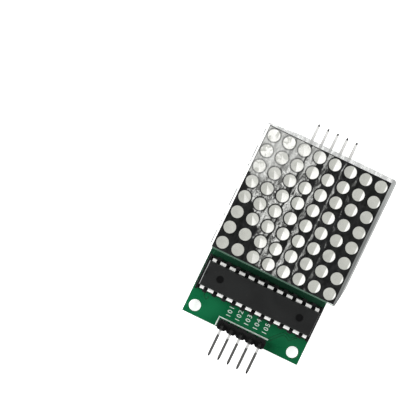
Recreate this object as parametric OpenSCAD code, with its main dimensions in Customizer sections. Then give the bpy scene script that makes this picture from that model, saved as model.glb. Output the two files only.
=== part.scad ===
// Light matrix of eight by eight dots on its driver board, in millimetres.
// +Z is up, out of the face of the matrix, and +Y runs from the input edge to the output edge.
// The origin is the centre of the four mounting holes, on the underside of the board.

/* [Board] */
// Width of the board beyond each end of the driver's socket
board_side = 0.36; // [0.1:0.02:2]
// Length of the board, from the input edge to the output edge
board_l = 50; // [50:0.5:58]
// Thickness of the board
board_t = 1.6; // [0.8:0.2:2.4]
// Diameter of the four mounting holes
mount_d = 3; // [2:0.1:3.2]
// Distance from the edges of the board to the centre of a mounting hole
mount_inset = 2.35; // [2.1:0.05:2.5]
// Diameter of the drilled holes for pins and leads
drill_d = 1; // [0.95:0.05:1.2]

/* [Layout] */
// Gap between the output pins' block and the strip beside it
header_gap = 0.3; // [0.1:0.1:1.5]
// Distance from the input edge of the board to the centre of the driver
driver_inset = 11; // [10:0.1:12.5]
// Distance from the input edge of the board to the input pins
input_inset = 1; // [0.8:0.1:1.6]
// Distance from the output edge of the board to the output pins
output_inset = 1.8; // [1:0.1:1.9]
// Spacing of the pins in every row
pin_pitch = 2.54; // [2.5:0.01:2.56]
// Distance that the tails of the sockets reach below the board
tail_reach = 1.4; // [1:0.1:1.4]
// Diameter of a solder joint against the board
solder_d = 1.9; // [1.5:0.1:2]
// Height of a solder joint
solder_h = 0.9; // [0.5:0.1:0.9]

/* [Matrix] */
// Spacing of the dots
dot_pitch = 4; // [3.8:0.05:4.1]
// Diameter of a dot at the face
dot_d = 3; // [2.4:0.1:3.4]
// Diameter of a cup at its chip
cup_d = 1.9; // [1.4:0.1:2.2]
// Depth of the hollow in the surface of a dot
dish_depth = 0.3; // [0.1:0.05:0.5]
// Flat rim around the hollow in a dot
dish_rim = 0.1; // [0.05:0.05:0.2]
// Width of the face outside the centres of the outer dots
dot_margin = 1.9; // [1.9:0.1:2.4]
// Height of the housing
housing_h = 6.4; // [6:0.1:8]
// Wall of the housing
housing_wall = 1.1; // [0.8:0.1:1.3]
// Bevel along the rim at the foot of the housing
housing_bevel = 0.3; // [0.1:0.1:0.5]
// Depth of the cups
cup_h = 3.6; // [3:0.1:4]
// Thickness of the plate that carries the chips
plate_t = 1; // [0.6:0.1:1.2]
// Clearance of the plate inside the housing
plate_gap = 0.1; // [0.05:0.05:0.2]
// Width of a chip
die_w = 0.35; // [0.25:0.05:0.5]
// Thickness of a chip
die_t = 0.2; // [0.1:0.05:0.3]
// Thickness of the printed layer on the face
print_t = 0.1; // [0.05:0.05:0.2]
// Spacing of the two rows of matrix pins
row_gap = 24; // [23:0.1:24]
// Diameter of a matrix pin
matrix_pin_d = 0.5; // [0.4:0.05:0.6]
// Length of a matrix pin below the housing
matrix_pin_l = 4.4; // [3.5:0.1:5]

/* [Face film] */
// Thickness of the film on the face
film_t = 0.1; // [0.05:0.05:0.2]
// Overhang of the film at the left
film_left = 0.65; // [0.3:0.05:1.5]
// Overhang of the film at the right and towards the output edge
film_far = 1; // [0.4:0.05:1.5]
// Overhang of the film towards the input edge, and where its askew sides end
film_near = 0.35; // [0.2:0.05:0.6]
// Length of the askew stretch of the side towards the output edge
film_skew_x = 8; // [2:0.5:14]
// Length of the askew stretch of the right side
film_skew_y = 4.5; // [2:0.5:14]

/* [Strips under the matrix] */
// Height of a strip
strip_h = 8.5; // [7.8:0.1:9.5]
// Width of a strip
strip_w = 2.5; // [2.3:0.05:2.5]
// Side of the square hole for a matrix pin
entry_w = 0.8; // [0.7:0.05:0.9]
// Width of the mouth of that hole
mouth_w = 1.4; // [1:0.1:1.6]
// Thickness of the top of a strip over its contacts
strip_roof = 1.5; // [1:0.1:2]
// Width of the cavity for a contact
cavity_w = 1.8; // [1.7:0.05:2]
// Depth of the cavity for a contact, across the strip
cavity_d = 1; // [0.8:0.05:1.2]
// Thickness of a leaf of a strip contact
leaf_t = 0.25; // [0.15:0.05:0.3]
// Height of the root of a strip contact
leaf_root = 0.8; // [0.5:0.1:1.2]
// Distance from the tips of the leaves down to where they pinch the pin
leaf_tip = 1; // [0.6:0.1:1.4]
// Flare of each leaf at its tip
leaf_flare = 0.2; // [0.1:0.05:0.25]
// Width of a contact tail below a strip
strip_tail_w = 0.6; // [0.4:0.05:0.65]
// Thickness of a contact tail below a strip
strip_tail_t = 0.4; // [0.3:0.05:0.5]

/* [Driver] */
// Length of the moulded body
driver_l = 29.5; // [29.2:0.1:30.4]
// Width of the moulded body
driver_w = 6.35; // [6:0.05:6.6]
// Thickness of the moulded body
driver_t = 3.3; // [2.8:0.1:3.6]
// Slope of each side of the body, as the inset of its top and bottom
driver_draft = 0.25; // [0.1:0.05:0.35]
// Height of the upright band around the body, at its leads
driver_band = 0.4; // [0.35:0.05:0.6]
// Radius of the notch in the end of the body
notch_r = 0.8; // [0.5:0.1:1.1]
// Depth of that notch
notch_depth = 0.9; // [0.4:0.1:1.2]
// Diameter of the two round marks on the top
mark_d = 1.85; // [1:0.05:2.2]
// Distance of the round marks from the middle
mark_x = 10.56; // [9:0.02:12]
// Depth of the round marks
mark_depth = 0.12; // [0.05:0.01:0.3]
// Spacing of the two rows of leads
lead_row = 7.62; // [7.5:0.02:7.8]
// Width of a lead above the socket
lead_w = 1.5; // [1.2:0.05:1.6]
// Width of a lead inside the socket
lead_tip_w = 0.46; // [0.4:0.02:0.6]
// Thickness of a lead
lead_t = 0.25; // [0.2:0.01:0.3]
// Length of a lead inside the socket
lead_tip_l = 2.8; // [2:0.1:3]
// Bend radius of a lead, to the middle of its thickness
lead_bend = 0.35; // [0.25:0.05:0.45]
// Height of the body over the socket
driver_lift = 0.3; // [0.2:0.05:0.8]
// Length of a lead inside the moulded body
lead_root = 0.8; // [0.5:0.1:1.2]
// Length of the taper at the end of a lead
lead_taper = 0.5; // [0.2:0.1:0.8]
// Width of a lead at its very end
lead_end_w = 0.16; // [0.1:0.02:0.3]

/* [Driver socket] */
// Height of the socket, with its feet
socket_h = 4.5; // [4.2:0.1:5.5]
// Width of a side rail outside its pockets
rail_outside = 0.3; // [0.2:0.05:0.8]
// Width of a side rail inside its pockets
rail_inside = 1.2; // [0.6:0.1:1.6]
// Height of the feet
socket_foot = 0.5; // [0.3:0.1:0.8]
// Width of the three cross bars
bar_w = 1.8; // [1.2:0.1:2.4]
// Width of the notches along the outer sides
side_notch_w = 1.5; // [1.2:0.05:1.7]
// Width of the pocket for a contact, along the rail
pocket_w = 1.3; // [1.1:0.05:1.4]
// Depth of the pocket for a contact, across the rail
pocket_d = 1; // [0.9:0.02:1.1]
// Thickness of the floor of a pocket
pocket_floor = 0.3; // [0.2:0.1:0.6]
// Thickness of a leaf of a socket contact
wiper_t = 0.15; // [0.1:0.01:0.2]
// Depth of the tips of the leaves below the top of the socket
wiper_depth = 0.3; // [0.1:0.1:0.6]
// Distance from the tips of the leaves down to where they pinch the lead
wiper_tip = 0.8; // [0.5:0.1:1]
// Flare of each leaf at its tip
wiper_flare = 0.15; // [0.05:0.05:0.15]
// Width of a contact tail below the socket
socket_tail_w = 0.5; // [0.4:0.05:0.6]
// Thickness of a contact tail below the socket
socket_tail_t = 0.25; // [0.2:0.05:0.3]

/* [Pin headers] */
// Width of a header pin
pin_w = 0.64; // [0.5:0.02:0.66]
// Height of the plastic block
block_h = 2.5; // [2:0.1:3]
// Depth of the plastic block
block_d = 2.5; // [2.2:0.05:2.54]
// Width of the notches between the units of the block
block_notch = 0.9; // [0.5:0.1:1.2]
// Height of the bent arm of a pin over the board
arm_z = 3.8; // [3.7:0.1:4.6]
// Bend radius of a pin, to the middle of its thickness
pin_bend = 0.9; // [0.6:0.05:1.1]
// Reach of the input pins from their row to their tips
input_reach = 8; // [5:0.1:9]
// Reach of the output pins from their row to their tips
output_reach = 7.1; // [5:0.1:9]
// Length of the taper at a pin's end
taper_l = 0.7; // [0.3:0.05:1]
// Width of a pin at its very end
taper_w = 0.32; // [0.2:0.02:0.5]
// Distance that the header pins reach below the board
header_tail = 1.5; // [1.4:0.1:2.2]

/* [Round capacitor] */
// Distance of the can from the middle of the board
can_x = 8.5; // [7:0.1:10]
// Distance of the can from the centre of the matrix
can_y = 4.5; // [0:0.1:7]
// Diameter of the can
can_d = 5; // [4:0.1:6]
// Height of the can
can_h = 6.6; // [5:0.1:6.8]
// Height of the can over the board
can_lift = 0.3; // [0.2:0.1:0.6]
// Radius of the groove around the can, and of its rounded top edge
can_round = 0.4; // [0.2:0.05:0.5]
// Depth of the groove
groove_depth = 0.25; // [0.1:0.05:0.3]
// Spacing of the can's leads
can_pitch = 2; // [1.5:0.1:2.5]
// Thickness of the sleeve
sleeve_t = 0.12; // [0.08:0.02:0.2]
// Width of the sleeve's rim on the top of the can
sleeve_rim = 0.9; // [0.5:0.1:1.5]
// Height of the sleeve's lower edge up the can
sleeve_foot = 0.2; // [0.1:0.1:0.4]
// Diameter of the rubber seal
seal_d = 4.1; // [3:0.1:4.2]
// Depth of the seal inside the can
seal_depth = 1.2; // [0.8:0.1:1.5]

/* [Flat capacitor] */
// Distance of the flat capacitor from the middle of the board
disc_x = 8; // [6:0.1:10]
// Distance of the flat capacitor from the centre of the matrix
disc_y = 4.5; // [0:0.1:7]
// Diameter of the disc
disc_d = 4.2; // [3.4:0.1:5]
// Thickness of the disc
disc_t = 2.2; // [1.6:0.1:2.6]
// Radius of the disc's rounded edge
disc_edge = 0.7; // [0.3:0.1:0.7]
// Height of the disc over the board
disc_lift = 1.2; // [0.8:0.1:2]
// Spacing of its leads
disc_pitch = 2.54; // [2:0.02:2.8]
// Height of the collars of coating over the board
collar_foot = 0.3; // [0.1:0.1:0.6]
// Thickness of the coating at the foot of a collar
collar_t = 0.15; // [0.1:0.05:0.3]
// Thickness of the coating at the top of a collar
collar_top_t = 0.45; // [0.2:0.05:0.6]
// Length of a lead inside the disc
disc_root = 1.2; // [0.8:0.1:1.5]

/* [Resistor] */
// Distance of the resistor from the centre of the matrix
resistor_y = 5; // [3:0.1:7]
// Length of the body
resistor_l = 6.3; // [5:0.1:7]
// Diameter of the end caps
resistor_d = 2.3; // [2:0.1:2.6]
// Depth of the waist between the end caps
waist_depth = 0.2; // [0.1:0.05:0.3]
// Length of an end cap
end_cap_l = 1.4; // [0.8:0.1:2]
// Length of the slope at both ends of the body
end_slope_l = 0.3; // [0.1:0.1:0.5]
// Spacing of its leads
resistor_pitch = 10.16; // [9.6:0.02:12.7]
// Bend radius of its leads
wire_bend = 0.8; // [0.5:0.1:1]

/* [Wires] */
// Diameter of the leads of the small parts
wire_d = 0.55; // [0.4:0.05:0.6]
// Distance that these leads reach below the board
wire_reach = 1.2; // [0.9:0.1:1.4]
// Length of a lead inside a seal or an end cap
wire_root = 0.5; // [0.3:0.1:0.8]

/* [Hidden] */
$fn = 48;

// Overshoot of a cut past the surface that it opens
cut = 0.05;
// Clearance of a contact in its cavity, and of a leaf from the pin between the leaves
contact_gap = 0.02;

dots_per_side = 8;
matrix_row_pins = 8;
driver_row_pins = 12;
header_pins = 5;

strip_l = matrix_row_pins * pin_pitch;
socket_l = driver_row_pins * pin_pitch;
block_l = header_pins * pin_pitch;
matrix_w = (dots_per_side - 1) * dot_pitch + 2 * dot_margin;
board_w = socket_l + 2 * board_side;
socket_w = lead_row + pocket_d + 2 * rail_outside;

driver_y = -board_l / 2 + driver_inset;
input_y = -board_l / 2 + input_inset;
output_y = board_l / 2 - output_inset;
far_strip_y = output_y - block_d / 2 - header_gap - strip_w / 2;
near_strip_y = far_strip_y - row_gap;
matrix_y = far_strip_y - row_gap / 2;

housing_z = board_t + strip_h;
plate_top = housing_z + housing_h - cup_h;
face_z = housing_z + housing_h;
hollow_w = matrix_w - 2 * housing_wall;

socket_top = board_t + socket_h;
driver_z = socket_top + driver_lift;
lead_z = driver_z + driver_t / 2;

can_at = [-can_x, matrix_y + can_y];
disc_at = [disc_x, matrix_y + disc_y];
resistor_at = [0, matrix_y - resistor_y];

// ---------- placing ----------

// A row of n places along X, one pitch apart
module in_row(n) {
    for (i = [0 : n - 1]) translate([(i - (n - 1) / 2) * pin_pitch, 0, 0]) children();
}

// Both rows of the driver, the second one turned about
module in_driver_rows() {
    for (turn = [0, 180])
        translate([0, driver_y, 0]) rotate([0, 0, turn]) translate([0, lead_row / 2, 0])
            in_row(driver_row_pins) children();
}

module at_mounts() {
    for (x = [-1, 1], y = [-1, 1])
        translate([x * (board_w / 2 - mount_inset), y * (board_l / 2 - mount_inset), 0]) children();
}

module at_strips() {
    for (y = [near_strip_y, far_strip_y]) translate([0, y, 0]) in_row(matrix_row_pins) children();
}

module at_headers() {
    for (y = [input_y, output_y]) translate([0, y, 0]) in_row(header_pins) children();
}

// Both leads of a small part
module at_pair(place, pitch) {
    for (x = [-1, 1]) translate([place.x + x * pitch / 2, place.y, 0]) children();
}

module at_wires() {
    at_pair(can_at, can_pitch) children();
    at_pair(disc_at, disc_pitch) children();
    at_pair(resistor_at, resistor_pitch) children();
}

module at_dots() {
    for (i = [0 : dots_per_side - 1], j = [0 : dots_per_side - 1])
        translate([
            (i - (dots_per_side - 1) / 2) * dot_pitch,
            matrix_y + (j - (dots_per_side - 1) / 2) * dot_pitch,
            0
        ]) children();
}

// ---------- shapes used more than once ----------

// A box that is centred in X and Y and stands on z = 0
module slab(size) {
    translate([-size.x / 2, -size.y / 2, 0]) cube(size);
}

// A profile drawn in the YZ plane, spread over a width along X
module across(width) {
    rotate([90, 0, 90]) translate([0, 0, -width / 2]) linear_extrude(width) children();
}

// A profile drawn in the XZ plane, spread over a depth along Y
module along(depth) {
    rotate([90, 0, 0]) translate([0, 0, -depth / 2]) linear_extrude(depth) children();
}

// A quarter of a bent strip, from pointing up at the left to pointing right
module quarter_bend(r, t) {
    intersection() {
        difference() {
            circle(r + t / 2);
            circle(r - t / 2);
        }
        translate([-r - t, 0]) square(r + t);
    }
}

// ---------- board ----------

module drilling(d) {
    translate([0, 0, -cut]) cylinder(d = d, h = board_t + 2 * cut);
}

module circuit_board() {
    color("darkgreen")
    difference() {
        slab([board_w, board_l, board_t]);
        at_mounts() drilling(mount_d);
        at_strips() drilling(drill_d);
        at_headers() drilling(drill_d);
        in_driver_rows() drilling(drill_d);
        at_wires() drilling(drill_d);
    }
}

module solder_cone() {
    translate([0, 0, -solder_h]) cylinder(d1 = solder_d / 2, d2 = solder_d, h = solder_h);
}

// Solder around a flat or square tail
module flat_joint(w, t) {
    difference() {
        solder_cone();
        translate([0, 0, -solder_h - cut]) slab([w, t, solder_h + 2 * cut]);
    }
}

// Solder around a round lead
module round_joint(d) {
    difference() {
        solder_cone();
        translate([0, 0, -solder_h - cut]) cylinder(d = d, h = solder_h + 2 * cut);
    }
}

module board_solder() {
    color("lightgray") {
        at_strips() flat_joint(strip_tail_w, strip_tail_t);
        at_headers() flat_joint(pin_w, pin_w);
        in_driver_rows() flat_joint(socket_tail_w, socket_tail_t);
        at_wires() round_joint(wire_d);
    }
}

// ---------- pin headers ----------

// The plastic block: square units with notched corners, and a square hole for each pin
module header_block() {
    color("black")
    translate([0, 0, board_t])
    difference() {
        slab([block_l, block_d, block_h]);
        for (i = [0 : header_pins], y = [-1, 1])
            translate([(i - header_pins / 2) * pin_pitch, y * block_d / 2, -cut])
                rotate([0, 0, 45]) slab([block_notch / sqrt(2), block_notch / sqrt(2), block_h + 2 * cut]);
        in_row(header_pins) translate([0, 0, -cut]) slab([pin_w, pin_w, block_h + 2 * cut]);
    }
}

// Side view of a pin: up through the board, round the bend and out to its tip
module pin_side(reach) {
    half = pin_w / 2;
    bend_z = board_t + arm_z - pin_bend;
    polygon([
        [-half, bend_z], [half, bend_z], [half, -header_tail + taper_l],
        [taper_w / 2, -header_tail], [-taper_w / 2, -header_tail], [-half, -header_tail + taper_l]
    ]);
    translate([pin_bend, bend_z]) quarter_bend(pin_bend, pin_w);
    translate([0, board_t + arm_z]) polygon([
        [pin_bend, -half], [reach - taper_l, -half], [reach, -taper_w / 2],
        [reach, taper_w / 2], [reach - taper_l, half], [pin_bend, half]
    ]);
}

// A width that narrows to the taper at one end of a length
module tapered_width(length) {
    polygon([
        [-pin_w / 2, 0], [pin_w / 2, 0], [pin_w / 2, length - taper_l],
        [taper_w / 2, length], [-taper_w / 2, length], [-pin_w / 2, length - taper_l]
    ]);
}

module header_pin(reach) {
    height = header_tail + board_t + arm_z + pin_w;
    color("silver")
    intersection() {
        across(pin_w) pin_side(reach);
        translate([0, -pin_w, -header_tail]) linear_extrude(height) tapered_width(reach + pin_w);
        translate([0, 0, height - header_tail]) mirror([0, 0, 1])
            along(2 * (reach + pin_w)) tapered_width(height);
    }
}

module input_header_block() {
    translate([0, input_y, 0]) header_block();
}

module input_header_pins() {
    translate([0, input_y, 0]) rotate([0, 0, 180]) in_row(header_pins) header_pin(input_reach);
}

module output_header_block() {
    translate([0, output_y, 0]) header_block();
}

module output_header_pins() {
    translate([0, output_y, 0]) in_row(header_pins) header_pin(output_reach);
}

// ---------- strips under the matrix ----------

module strip_body() {
    color("black")
    translate([0, 0, board_t])
    difference() {
        slab([strip_l, strip_w, strip_h]);
        in_row(matrix_row_pins) {
            translate([0, 0, -cut]) slab([cavity_w, cavity_d, strip_h - strip_roof + cut]);
            slab([entry_w, entry_w, strip_h + cut]);
            translate([0, 0, strip_h - mouth_w / 2])
                cylinder(d1 = 0, d2 = mouth_w + 2 * cut, h = mouth_w / 2 + cut);
        }
    }
}

// One leaf of a fork, from its root to the pinch and out to its flared tip
module leaf(root_x, root_z, pinch_x, pinch_z, tip_x, tip_z, t) {
    polygon([
        [root_x - t, root_z], [pinch_x, pinch_z], [tip_x, tip_z],
        [tip_x + t, tip_z], [pinch_x + t, pinch_z], [root_x, root_z]
    ]);
}

// A stamped fork that grips a pin of the matrix, with its tail through the board
module strip_contact() {
    root_x = cavity_w / 2 - contact_gap;
    root_z = board_t + leaf_root;
    top_z = housing_z - strip_roof - contact_gap;
    pinch_x = matrix_pin_d / 2 + contact_gap;
    tail_l = board_t + tail_reach;
    color("gold") {
        along(cavity_d - 2 * contact_gap) {
            translate([-root_x, board_t]) square([2 * root_x, root_z - board_t]);
            for (side = [0, 1]) mirror([side, 0])
                leaf(root_x, root_z, pinch_x, top_z - leaf_tip, pinch_x + leaf_flare, top_z, leaf_t);
        }
        translate([0, 0, -tail_reach]) slab([strip_tail_w, strip_tail_t, tail_l]);
    }
}

module near_strip_body() {
    translate([0, near_strip_y, 0]) strip_body();
}

module near_strip_contacts() {
    translate([0, near_strip_y, 0]) in_row(matrix_row_pins) strip_contact();
}

module far_strip_body() {
    translate([0, far_strip_y, 0]) strip_body();
}

module far_strip_contacts() {
    translate([0, far_strip_y, 0]) in_row(matrix_row_pins) strip_contact();
}

// ---------- driver socket ----------

// Two rails with three cross bars, on feet, open under the driver
module socket_frame() {
    window_l = (socket_l - 3 * bar_w) / 2;
    window_w = lead_row - pocket_d - 2 * rail_inside;
    difference() {
        translate([0, 0, socket_foot]) slab([socket_l, socket_w, socket_h - socket_foot]);
        for (side = [-1, 1]) translate([side * (window_l + bar_w) / 2, 0, socket_foot - cut])
            slab([window_l, window_w, socket_h]);
    }
    for (x = [-1, 0, 1], y = [-1, 1])
        translate([x * (socket_l - bar_w) / 2, y * (window_w + bar_w) / 2, 0])
            slab([bar_w, bar_w, socket_foot]);
}

// The way for one contact: its pocket, the slot for its tail and the notch outside it
module contact_way() {
    floor_z = socket_foot + pocket_floor;
    translate([0, 0, floor_z]) slab([pocket_w, pocket_d, socket_h]);
    translate([0, 0, -cut])
        slab([socket_tail_w + 2 * contact_gap, socket_tail_t + 2 * contact_gap, socket_h]);
    translate([-side_notch_w / 2, pocket_d / 2 - cut, -cut])
        cube([side_notch_w, rail_outside + 2 * cut, socket_h + 2 * cut]);
}

module socket_body() {
    color("dimgray")
    translate([0, 0, board_t])
    difference() {
        translate([0, driver_y, 0]) socket_frame();
        in_driver_rows() contact_way();
    }
}

// A stamped fork that grips a lead of the driver, with its tail through the board
module socket_contact() {
    base_z = board_t + socket_foot + pocket_floor;
    root_x = pocket_d / 2 - contact_gap;
    top_z = socket_top - wiper_depth;
    pinch_x = lead_t / 2 + contact_gap;
    color("gold") {
        across(pocket_w - 2 * contact_gap) {
            translate([-root_x, base_z]) square([2 * root_x, wiper_t]);
            for (side = [0, 1]) mirror([side, 0])
                leaf(
                    root_x, base_z + wiper_t, pinch_x, top_z - wiper_tip,
                    pinch_x + wiper_flare, top_z, wiper_t
                );
        }
        translate([0, 0, -tail_reach]) slab([socket_tail_w, socket_tail_t, tail_reach + base_z + wiper_t]);
    }
}

module socket_contacts() {
    in_driver_rows() socket_contact();
}

// ---------- driver ----------

// One view of the body: sloping sides with an upright band at the leads
module driver_view(width) {
    low = (driver_t - driver_band) / 2;
    high = (driver_t + driver_band) / 2;
    half = width / 2;
    polygon([
        [driver_draft - half, 0], [half - driver_draft, 0], [half, low], [half, high],
        [half - driver_draft, driver_t], [driver_draft - half, driver_t], [-half, high], [-half, low]
    ]);
}

module driver_body() {
    color([0.16, 0.16, 0.165])
    difference() {
        translate([0, driver_y, driver_z])
        difference() {
            intersection() {
                across(driver_l + 1) driver_view(driver_w);
                along(driver_w + 1) driver_view(driver_l);
            }
            translate([-driver_l / 2, 0, driver_t - notch_depth])
                cylinder(r = notch_r, h = notch_depth + cut);
            for (side = [-1, 1]) translate([side * mark_x, 0, driver_t - mark_depth])
                cylinder(d = mark_d, h = mark_depth + cut);
        }
        driver_leads();
    }
}

// Side view of a lead, from inside the body to the socket, with its row at y = 0
module lead_side() {
    root = lead_row / 2 - driver_w / 2 + lead_root;
    translate([-root, lead_z - lead_t / 2]) square([root - lead_bend, lead_t]);
    translate([-lead_bend, lead_z - lead_bend]) mirror([1, 0]) quarter_bend(lead_bend, lead_t);
    translate([-lead_t / 2, socket_top]) square([lead_t, lead_z - lead_bend - socket_top]);
}

// A lead's foot, with its end cut to a point
module lead_foot() {
    end_z = socket_top - lead_tip_l;
    polygon([
        [-lead_tip_w / 2, socket_top], [-lead_tip_w / 2, end_z + lead_taper],
        [-lead_end_w / 2, end_z], [lead_end_w / 2, end_z],
        [lead_tip_w / 2, end_z + lead_taper], [lead_tip_w / 2, socket_top]
    ]);
}

// The four leads at the corners are narrower on their outer side
module driver_leads() {
    last = driver_row_pins - 1;
    color("silver")
    for (turn = [0, 180])
        translate([0, driver_y, 0]) rotate([0, 0, turn]) translate([0, lead_row / 2, 0])
            for (i = [0 : last]) {
                from_x = i == 0 ? -lead_tip_w / 2 : -lead_w / 2;
                to_x = i == last ? lead_tip_w / 2 : lead_w / 2;
                translate([(i - last / 2) * pin_pitch, 0, 0]) {
                    translate([(from_x + to_x) / 2, 0, 0]) across(to_x - from_x) lead_side();
                    along(lead_t) lead_foot();
                }
            }
}

// ---------- matrix ----------

// The housing: a block with a cup for each dot, hollow behind, with a bevelled foot
module matrix_housing() {
    foot = matrix_w / 2 - housing_bevel;
    half = matrix_w / 2;
    color("whitesmoke")
    difference() {
        translate([0, matrix_y, housing_z])
        intersection() {
            across(matrix_w) polygon([
                [-foot, 0], [foot, 0], [half, housing_bevel], [half, housing_h],
                [-half, housing_h], [-half, housing_bevel]
            ]);
            along(matrix_w) polygon([
                [-foot, 0], [foot, 0], [half, housing_bevel], [half, housing_h],
                [-half, housing_h], [-half, housing_bevel]
            ]);
        }
        translate([0, matrix_y, housing_z - cut]) slab([hollow_w, hollow_w, housing_h - cup_h + cut]);
        at_dots() translate([0, 0, plate_top]) {
            translate([0, 0, -cut]) cylinder(d = cup_d, h = 2 * cut);
            cylinder(d1 = cup_d, d2 = dot_d, h = cup_h);
            translate([0, 0, cup_h - cut / 10]) cylinder(d = dot_d, h = cut);
        }
    }
}

module matrix_face_print() {
    color("black")
    difference() {
        translate([0, matrix_y, face_z]) slab([matrix_w, matrix_w, print_t]);
        at_dots() translate([0, 0, face_z - cut]) cylinder(d = dot_d, h = print_t + 2 * cut);
    }
}

// The clouded resin in one cup, with a cone-shaped hollow in its surface, cast over its chip
module matrix_dots() {
    brim = dot_d / 2 - dish_rim;
    dish_h = dish_depth + cut;
    color("gainsboro")
    at_dots() translate([0, 0, plate_top])
    difference() {
        union() {
            cylinder(d1 = cup_d, d2 = dot_d, h = cup_h);
            translate([0, 0, cup_h]) cylinder(d = dot_d, h = print_t);
        }
        translate([0, 0, cup_h + print_t - dish_depth])
            cylinder(r1 = 0, r2 = brim * dish_h / dish_depth, h = dish_h);
        translate([0, 0, -cut]) slab([die_w, die_w, die_t + cut]);
    }
}

module matrix_chips() {
    color("goldenrod")
    at_dots() translate([0, 0, plate_top]) slab([die_w, die_w, die_t]);
}

// The hole for each matrix pin, through the plate and the filling behind it
module matrix_pin_ways() {
    at_strips() translate([0, 0, housing_z - cut])
        cylinder(d = matrix_pin_d, h = housing_h - cup_h + 2 * cut);
}

module matrix_plate() {
    color("tan")
    difference() {
        translate([0, matrix_y, plate_top - plate_t])
            slab([hollow_w - 2 * plate_gap, hollow_w - 2 * plate_gap, plate_t]);
        matrix_pin_ways();
    }
}

module matrix_filling() {
    color("beige")
    difference() {
        translate([0, matrix_y, housing_z]) slab([hollow_w, hollow_w, housing_h - cup_h - plate_t]);
        matrix_pin_ways();
    }
}

module matrix_pins() {
    color("silver")
    at_strips() translate([0, 0, housing_z - matrix_pin_l])
        cylinder(d = matrix_pin_d, h = plate_top - housing_z + matrix_pin_l);
}

// The clear film that still covers the face, a little askew and larger than the face
module face_film() {
    half = matrix_w / 2;
    color("lightblue", 0.4)
    translate([0, matrix_y, face_z + print_t])
    linear_extrude(film_t)
    polygon([
        [-half - film_left, -half - film_near], [half + film_near, -half - film_near],
        [half + film_far, -half + film_skew_y], [half + film_far, half + film_far],
        [-half + film_skew_x, half + film_far], [-half - film_left, half + film_near]
    ]);
}

// ---------- small parts under the matrix ----------

// A straight round lead that ends below the board
module wire_down(top) {
    translate([0, 0, -wire_reach]) cylinder(d = wire_d, h = wire_reach + top);
}

module capacitor_can() {
    r = can_d / 2;
    color("silver")
    translate([can_at.x, can_at.y, board_t + can_lift])
    difference() {
        rotate_extrude() difference() {
            square([r, can_h]);
            translate([r + can_round - groove_depth, seal_depth + can_round]) circle(can_round);
            translate([r - can_round, can_h - can_round]) difference() {
                square(can_round + cut);
                circle(can_round);
            }
        }
        translate([0, 0, -cut]) cylinder(d = seal_d, h = seal_depth + cut);
    }
}

// The shrunk sleeve, which turns in over the edge of the can's top
module capacitor_sleeve() {
    inner = can_d / 2 + contact_gap;
    outer = inner + sleeve_t;
    color("midnightblue")
    translate([can_at.x, can_at.y, board_t + can_lift])
    rotate_extrude() polygon([
        [inner, sleeve_foot], [outer, sleeve_foot], [outer, can_h + sleeve_t],
        [inner - sleeve_rim, can_h + sleeve_t], [inner - sleeve_rim, can_h], [inner, can_h]
    ]);
}

module capacitor_seal() {
    color("dimgray")
    difference() {
        translate([can_at.x, can_at.y, board_t]) cylinder(d = seal_d, h = seal_depth + can_lift);
        capacitor_leads();
    }
}

module capacitor_leads() {
    color("silver") at_pair(can_at, can_pitch) wire_down(board_t + can_lift + wire_root);
}

// The dipped disc on edge, with a collar of its coating down each lead
module disc_capacitor_body() {
    centre_z = board_t + disc_lift + disc_d / 2;
    flat_r = disc_d / 2 - disc_edge;
    color("darkorange")
    difference() {
        union() {
            translate([disc_at.x, disc_at.y, centre_z]) rotate([90, 0, 0])
                translate([0, 0, -disc_t / 2]) rotate_extrude() {
                    square([flat_r, disc_t]);
                    translate([0, disc_edge]) square([disc_d / 2, disc_t - 2 * disc_edge]);
                    for (z = [disc_edge, disc_t - disc_edge]) translate([flat_r, z]) intersection() {
                        circle(disc_edge);
                        translate([0, -disc_edge]) square([disc_edge, 2 * disc_edge]);
                    }
                }
            at_pair(disc_at, disc_pitch) translate([0, 0, board_t + collar_foot])
                cylinder(
                    d1 = wire_d + 2 * collar_t,
                    d2 = wire_d + 2 * collar_top_t,
                    h = disc_lift + disc_edge - collar_foot
                );
        }
        disc_capacitor_leads();
    }
}

module disc_capacitor_leads() {
    color("silver") at_pair(disc_at, disc_pitch) wire_down(board_t + disc_lift + disc_root);
}

// A body with a thicker cap at each end, lying along X on the board
module resistor_body() {
    waist = resistor_d - 2 * waist_depth;
    color("peru")
    difference() {
        translate([resistor_at.x, resistor_at.y, board_t + resistor_d / 2]) rotate([0, 90, 0]) {
            translate([0, 0, -resistor_l / 2]) cylinder(d = waist, h = resistor_l);
            for (side = [0, 1]) mirror([0, 0, side]) translate([0, 0, resistor_l / 2 - end_cap_l]) {
                cylinder(d = resistor_d, h = end_cap_l - end_slope_l);
                translate([0, 0, end_cap_l - end_slope_l])
                    cylinder(d1 = resistor_d, d2 = waist, h = end_slope_l);
            }
        }
        resistor_leads();
    }
}

// Wires that run out of both ends of the body and bend down through the board
module resistor_leads() {
    axis_z = board_t + resistor_d / 2;
    root = resistor_l / 2 - wire_root;
    arm = resistor_pitch / 2 - wire_bend - root;
    color("silver")
    for (side = [0, 1])
        translate([resistor_at.x, resistor_at.y, 0]) mirror([side, 0, 0]) {
            translate([root, 0, axis_z]) rotate([0, 90, 0]) cylinder(d = wire_d, h = arm);
            translate([resistor_pitch / 2 - wire_bend, 0, axis_z - wire_bend]) rotate([90, 0, 0])
                rotate_extrude(angle = 90) translate([wire_bend, 0]) circle(d = wire_d);
            translate([resistor_pitch / 2, 0, 0]) wire_down(axis_z - wire_bend);
        }
}

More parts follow.
